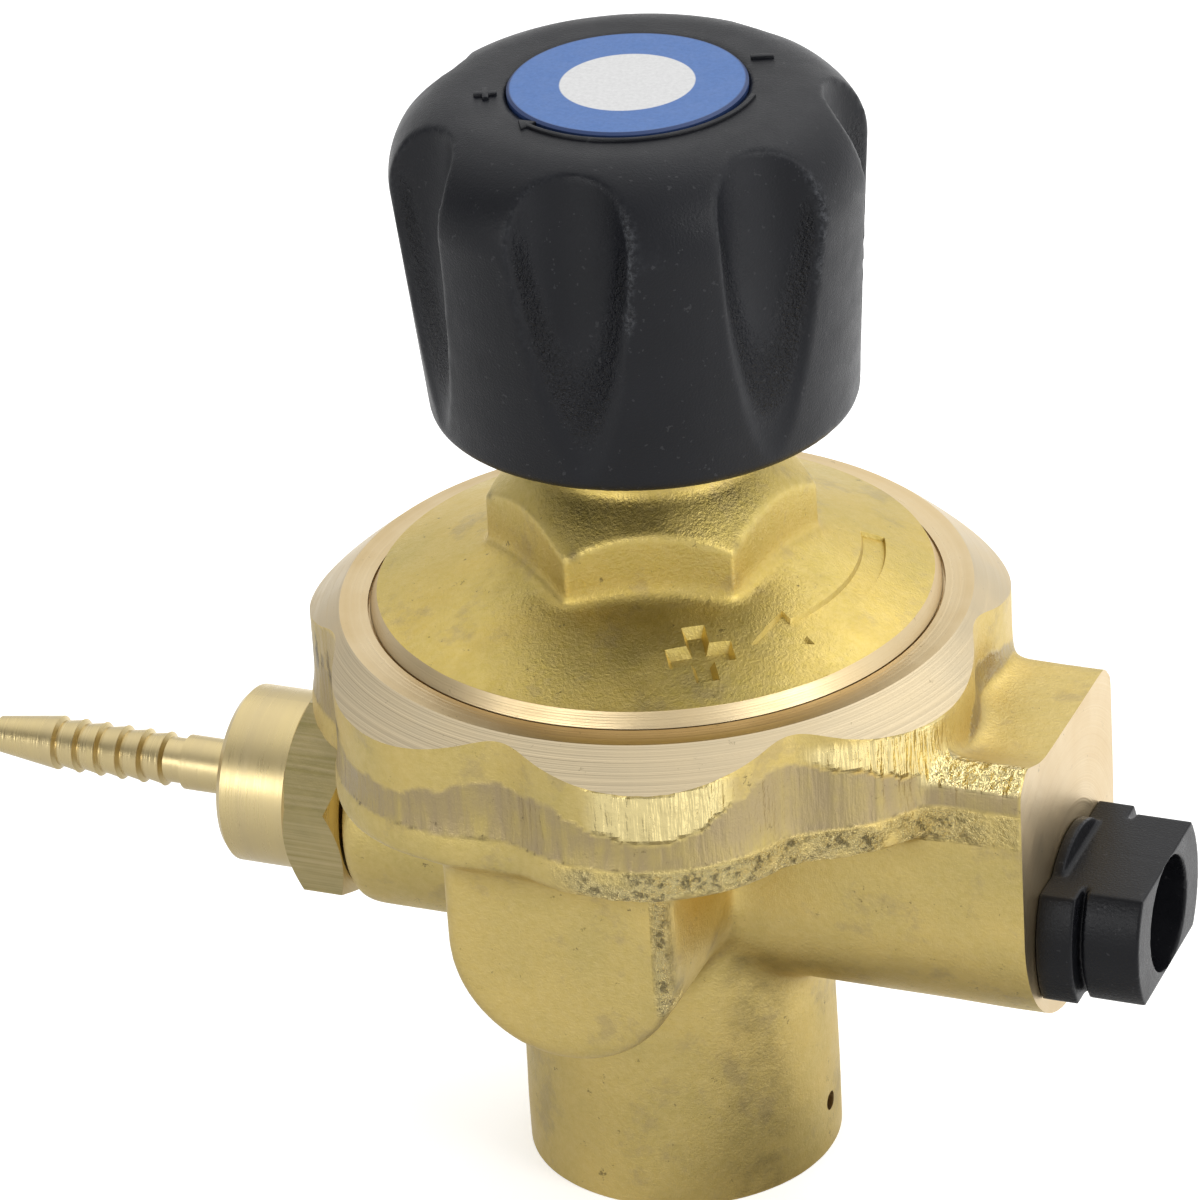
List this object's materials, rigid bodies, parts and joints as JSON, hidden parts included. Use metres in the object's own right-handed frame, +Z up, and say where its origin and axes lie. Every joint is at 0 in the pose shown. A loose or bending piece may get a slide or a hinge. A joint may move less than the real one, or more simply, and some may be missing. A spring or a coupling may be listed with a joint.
{
  "type": "oxygen pressure regulator",
  "caption": "Small brass gas pressure regulator with a fluted black adjusting knob on top, a barbed hose outlet on one side and a capped relief valve on the other.",
  "frame": {"origin": "centre of the inlet socket's bottom face, on the inlet thread's axis", "axes": "+Z up along the inlet and spindle axis, +X towards the relief cap, -X along the hose nozzle, -Y towards the blank front boss"},
  "size_m": [0.1076, 0.0597, 0.0992],
  "materials": {
    "forged_brass": "sand-blasted forged brass with turned faces",
    "turned_brass": "turned brass, bright",
    "knob_plastic": "satin black moulded plastic, worn edges",
    "cap_plastic": "satin black moulded plastic",
    "label_film": "blue label film with a white centre",
    "dark_steel": "blackened steel",
    "spring_steel": "bright spring steel",
    "zinc_steel": "zinc-plated steel",
    "black_rubber": "black elastomer with fabric",
    "white_polymer": "white sealing polymer",
    "amber_gasket": "amber fibre ring",
    "sintered_bronze": "sintered bronze"
  },
  "bodies": {
    "housing": {"body": "forged_brass", "bonnet": "forged_brass", "slip_ring": "white_polymer", "diaphragm": "black_rubber", "regulating_spring": "spring_steel", "poppet_spring": "spring_steel", "relief_spring": "spring_steel", "valve_seat": "turned_brass", "spring_retainer": "turned_brass", "inlet_filter": "sintered_bronze", "inlet_probe": "turned_brass", "inlet_gasket": "white_polymer", "outlet_gasket": "amber_gasket", "outlet_nipple": "turned_brass", "union_nut": "turned_brass", "hose_tail": "turned_brass", "relief_cap": "cap_plastic", "relief_screw": "dark_steel"},
    "spring_carrier": {"spring_button": "turned_brass", "thrust_ball": "spring_steel"},
    "knob": {"adjusting_knob": "knob_plastic", "knob_disc": "label_film", "spindle": "zinc_steel", "knob_screw": "zinc_steel"},
    "valve": {"diaphragm_plate": "turned_brass", "diaphragm_washer": "turned_brass", "diaphragm_nut": "turned_brass", "valve_pin": "spring_steel", "valve_poppet": "turned_brass", "seat_pad": "white_polymer"},
    "relief": {"relief_poppet": "turned_brass", "relief_pad": "white_polymer"}
  },
  "joints": [
    {"name": "screw_advance", "type": "slide", "parent": "housing", "child": "spring_carrier", "axis": [0, 0, 1], "range_m": [-0.0045, 0], "deforming": ["regulating_spring"]},
    {"name": "knob_turn", "type": "hinge", "parent": "spring_carrier", "child": "knob", "pos_m": [0, 0, 0.085], "axis": [0, 0, 1], "range_deg": [-1080, 0]},
    {"name": "valve_lift", "type": "slide", "parent": "housing", "child": "valve", "axis": [0, 0, -1], "range_m": [0, 0.0008], "stiffness_N_per_m": 2000, "springref_m": -0.0005, "deforming": ["poppet_spring", "diaphragm"]},
    {"name": "relief_lift", "type": "slide", "parent": "housing", "child": "relief", "axis": [1, 0, 0], "range_m": [0, 0.0012], "stiffness_N_per_m": 2000, "springref_m": -0.0005, "deforming": ["relief_spring"]}
  ],
  "couplings": [
    {"joint": "knob_turn", "follows": "screw_advance", "rad_per_m": 4188.8}
  ]
}
